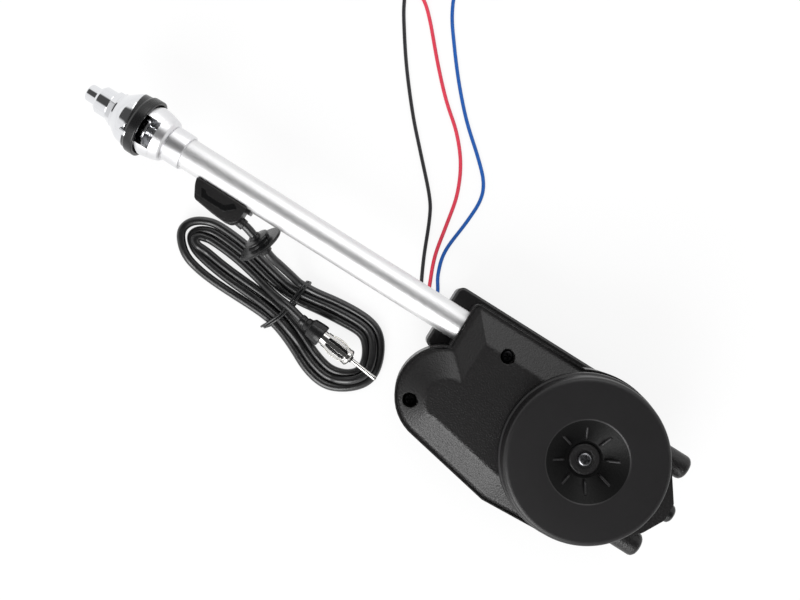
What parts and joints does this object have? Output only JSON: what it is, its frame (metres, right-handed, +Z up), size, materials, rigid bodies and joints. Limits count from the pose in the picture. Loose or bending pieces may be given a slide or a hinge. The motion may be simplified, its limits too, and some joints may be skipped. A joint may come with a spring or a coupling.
{
  "type": "car mast aerial",
  "caption": "Automatic telescopic car aerial: a black gear housing with cable drum, motor box, bright mast tube, wing mount with rubber wedge, coaxial lead with plug and three wires",
  "frame": {"origin": "middle of the bottom of the box round the aerial without its lead and wires, on the surface it lies on; the mast is stowed", "axes": "+X along the mast to its tip, +Y to the side that the coaxial lead leaves on, +Z up from the surface, out of the cable drum cover"},
  "size_m": [0.489, 0.3454, 0.088],
  "materials": {
    "tube_metal": "satin chromed tube",
    "brass": "bare drawn brass",
    "chrome": "bright plated zinc and brass",
    "black_rubber": "moulded rubber, dull",
    "natural_nylon": "natural nylon",
    "black_plastic": "fine textured moulded plastic",
    "black_vinyl": "extruded vinyl, glossy",
    "nickel_plate": "nickel plated brass",
    "black_steel": "blackened steel",
    "zinc_steel": "zinc plated steel",
    "magnet_ferrite": "sintered ferrite",
    "copper_rotor": "copper winding and sintered bronze",
    "board_green": "circuit board with black relay",
    "wire_black": "black wire insulation",
    "wire_red": "red wire insulation",
    "wire_blue": "blue wire insulation"
  },
  "bodies": {
    "housing": {"outer_tube": "tube_metal", "guide_tube": "brass", "top_bush": "chrome", "wiper_seal": "black_rubber", "hex_nut": "chrome", "chrome_dome": "chrome", "wedge_gasket": "black_rubber", "fender_claw": "chrome", "threaded_neck": "chrome", "neck_insulator": "natural_nylon", "collar": "chrome", "tube_block": "natural_nylon", "coax_block": "black_plastic", "cable_grommet": "black_rubber", "coax_lead": "black_vinyl", "coax_hank": "black_vinyl", "hank_tie": "black_vinyl", "plug_boot": "black_rubber", "plug_sleeve": "nickel_plate", "plug_insulator": "natural_nylon", "plug_pin": "nickel_plate", "front_cover": "black_plastic", "rear_shell": "black_plastic", "drum_cover": "black_plastic", "drum_washer": "black_plastic", "drum_screw": "zinc_steel", "cover_screws": "black_steel", "motor_box": "black_plastic", "box_screws": "black_steel", "drain_plug": "black_rubber", "motor_can": "zinc_steel", "motor_magnets": "magnet_ferrite", "motor_end_bell": "natural_nylon", "shaft_bushes": "copper_rotor", "drive_cord": "natural_nylon", "control_board": "board_green", "wire_gland": "black_rubber", "black_wire": "wire_black", "red_wire": "wire_red", "blue_wire": "wire_blue", "black_coil_ring": "wire_black", "red_coil_ring": "wire_red", "blue_coil_ring": "wire_blue"},
    "rotor": {"motor_shaft": "zinc_steel", "armature": "copper_rotor", "worm": "copper_rotor"},
    "gear_train": {"gear_shaft": "zinc_steel", "worm_wheel": "natural_nylon", "clutch_plate": "zinc_steel", "clutch_spring": "zinc_steel", "drive_gear": "natural_nylon"},
    "roller": {"pinch_roller": "natural_nylon"},
    "spool": {"cable_spool": "black_plastic", "cord_wraps": "natural_nylon"},
    "section_1": {"mast_section_1": "tube_metal"},
    "section_2": {"mast_section_2": "tube_metal"},
    "section_3": {"mast_section_3": "tube_metal"},
    "tip": {"mast_tip_rod": "tube_metal", "mast_cap": "chrome"}
  },
  "joints": [
    {"name": "motor_spin", "type": "hinge", "parent": "housing", "child": "rotor", "pos_m": [-0.1145, -0.0343, 0.0177], "axis": [-1, 0, 0], "range_deg": [0, 93478.7]},
    {"name": "gear_spin", "type": "hinge", "parent": "housing", "child": "gear_train", "pos_m": [-0.1145, -0.0217, 0.048], "axis": [0, 0, 1], "range_deg": [0, 5193.3]},
    {"name": "roller_spin", "type": "hinge", "parent": "housing", "child": "roller", "pos_m": [-0.1145, -0.0391, 0.048], "axis": [0, 0, 1], "range_deg": [-10182.9, 0]},
    {"name": "spool_spin", "type": "hinge", "parent": "housing", "child": "spool", "pos_m": [-0.1665, -0.0013, 0.048], "axis": [0, 0, 1], "range_deg": [0, 1675.2]},
    {"name": "section_1_slide", "type": "slide", "parent": "housing", "child": "section_1", "axis": [1, 0, 0], "range_m": [0, 0.22]},
    {"name": "section_2_slide", "type": "slide", "parent": "section_1", "child": "section_2", "axis": [1, 0, 0], "range_m": [0, 0.2266]},
    {"name": "section_3_slide", "type": "slide", "parent": "section_2", "child": "section_3", "axis": [1, 0, 0], "range_m": [0, 0.2266]},
    {"name": "tip_slide", "type": "slide", "parent": "section_3", "child": "tip", "axis": [1, 0, 0], "range_m": [0, 0.2266], "deforming": ["drive_cord"]}
  ],
  "couplings": [
    {"joint": "motor_spin", "follows": "section_1_slide", "rad_per_m": 7200},
    {"joint": "gear_spin", "follows": "section_1_slide", "rad_per_m": 400},
    {"joint": "roller_spin", "follows": "section_1_slide", "rad_per_m": -784.31},
    {"joint": "spool_spin", "follows": "section_1_slide", "rad_per_m": 129.03},
    {"joint": "section_2_slide", "follows": "section_1_slide", "ratio": 1},
    {"joint": "section_3_slide", "follows": "section_1_slide", "ratio": 1},
    {"joint": "tip_slide", "follows": "section_1_slide", "ratio": 1}
  ]
}
